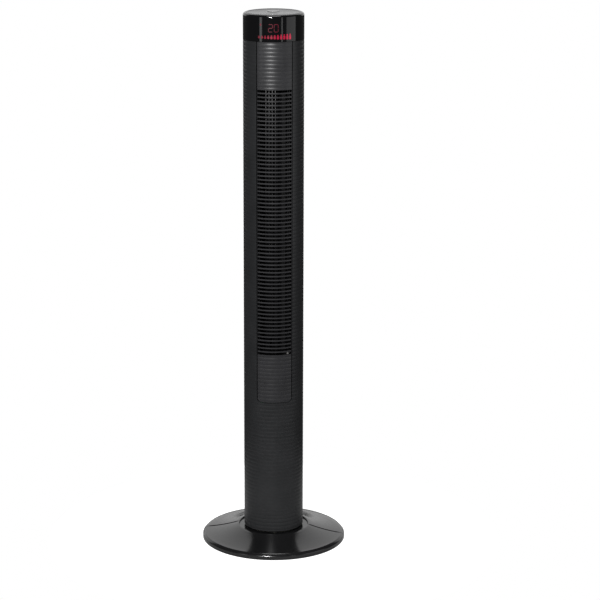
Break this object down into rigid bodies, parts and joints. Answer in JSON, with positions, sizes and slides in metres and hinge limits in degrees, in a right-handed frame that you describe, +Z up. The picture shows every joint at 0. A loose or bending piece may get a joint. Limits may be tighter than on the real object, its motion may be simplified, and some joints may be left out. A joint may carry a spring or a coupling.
{
  "type": "tower fan",
  "caption": "Slim round tower fan: a ribbed column with a slatted air outlet and a lit control band, turning on a wide round two-piece base.",
  "frame": {"origin": "on the floor under the column's axis, in the middle of the base", "axes": "+Z up along the column, -Y to the front where the air comes out, +X to the fan's left-hand side as seen from the fan"},
  "size_m": [0.315, 0.315, 1.17],
  "materials": {
    "column_plastic": "ribbed charcoal plastic with a soft satin sheen",
    "base_plastic": "satin black plastic",
    "cap_gloss": "glossy black plastic",
    "cover_satin": "satin dark grey plastic",
    "inner_plastic": "matt black plastic",
    "nylon": "natural nylon",
    "rubber": "matt black rubber",
    "steel": "zinc plated steel",
    "circuit": "green circuit board",
    "lamp": "red lit segments behind a dark window"
  },
  "bodies": {
    "base": {"base_front_half": "base_plastic", "base_rear_half": "base_plastic", "turntable_seat": "base_plastic", "glide_ring": "nylon", "friction_washer": "steel", "swing_gear": "nylon", "post_nut": "steel", "cord_inlet": "rubber", "rubber_foot_1": "rubber", "rubber_foot_2": "rubber", "rubber_foot_3": "rubber", "rubber_foot_4": "rubber", "rubber_foot_5": "rubber", "rubber_foot_6": "rubber", "base_screw_1": "steel", "base_screw_2": "steel", "base_screw_3": "steel", "base_screw_4": "steel"},
    "column": {"lower_tube": "column_plastic", "front_housing": "column_plastic", "rear_housing": "column_plastic", "front_grille": "column_plastic", "display_cap": "cap_gloss", "top_cover": "cover_satin", "turntable": "inner_plastic", "joining_sleeve": "inner_plastic", "lower_partition": "inner_plastic", "upper_partition": "inner_plastic", "air_scroll": "inner_plastic", "air_tongue": "inner_plastic", "key_switch": "inner_plastic", "top_bush": "rubber", "rear_screw_1": "steel", "rear_screw_2": "steel", "rear_screw_3": "steel", "rear_screw_4": "steel", "rear_screw_5": "steel", "rear_screw_6": "steel", "tube_screw_1": "steel", "tube_screw_2": "steel", "tube_screw_3": "steel", "swing_motor_screw_1": "steel", "swing_motor_screw_2": "steel", "motor_screw_1": "steel", "motor_screw_2": "steel", "panel_screw": "steel", "swing_motor": "steel", "fan_motor": "steel", "power_board": "circuit", "control_board": "circuit", "display_board": "circuit", "digit_display": "lamp", "icon_strip": "lamp"},
    "rotor": {"impeller": "inner_plastic", "motor_shaft": "steel", "impeller_pin": "steel"},
    "key": {"power_key": "cap_gloss"},
    "pinion": {"swing_pinion": "nylon"}
  },
  "joints": [
    {"name": "column_swing", "type": "hinge", "parent": "base", "child": "column", "pos_m": [0, 0, 0.033], "axis": [0, 0, 1], "range_deg": [-45, 25]},
    {"name": "rotor_spin", "type": "hinge", "parent": "column", "child": "rotor", "pos_m": [0, 0.011, 0.72], "axis": [0, 0, 1], "continuous": true},
    {"name": "power_key_press", "type": "slide", "parent": "column", "child": "key", "axis": [0, 0, 1], "range_m": [-0.0015, 0], "stiffness_N_per_m": 600, "springref_m": 0.001},
    {"name": "pinion_spin", "type": "hinge", "parent": "column", "child": "pinion", "pos_m": [0, 0.0375, 0.0406], "axis": [0, 0, 1], "range_deg": [-185, 105]}
  ],
  "couplings": [
    {"joint": "pinion_spin", "follows": "column_swing", "ratio": 4}
  ]
}
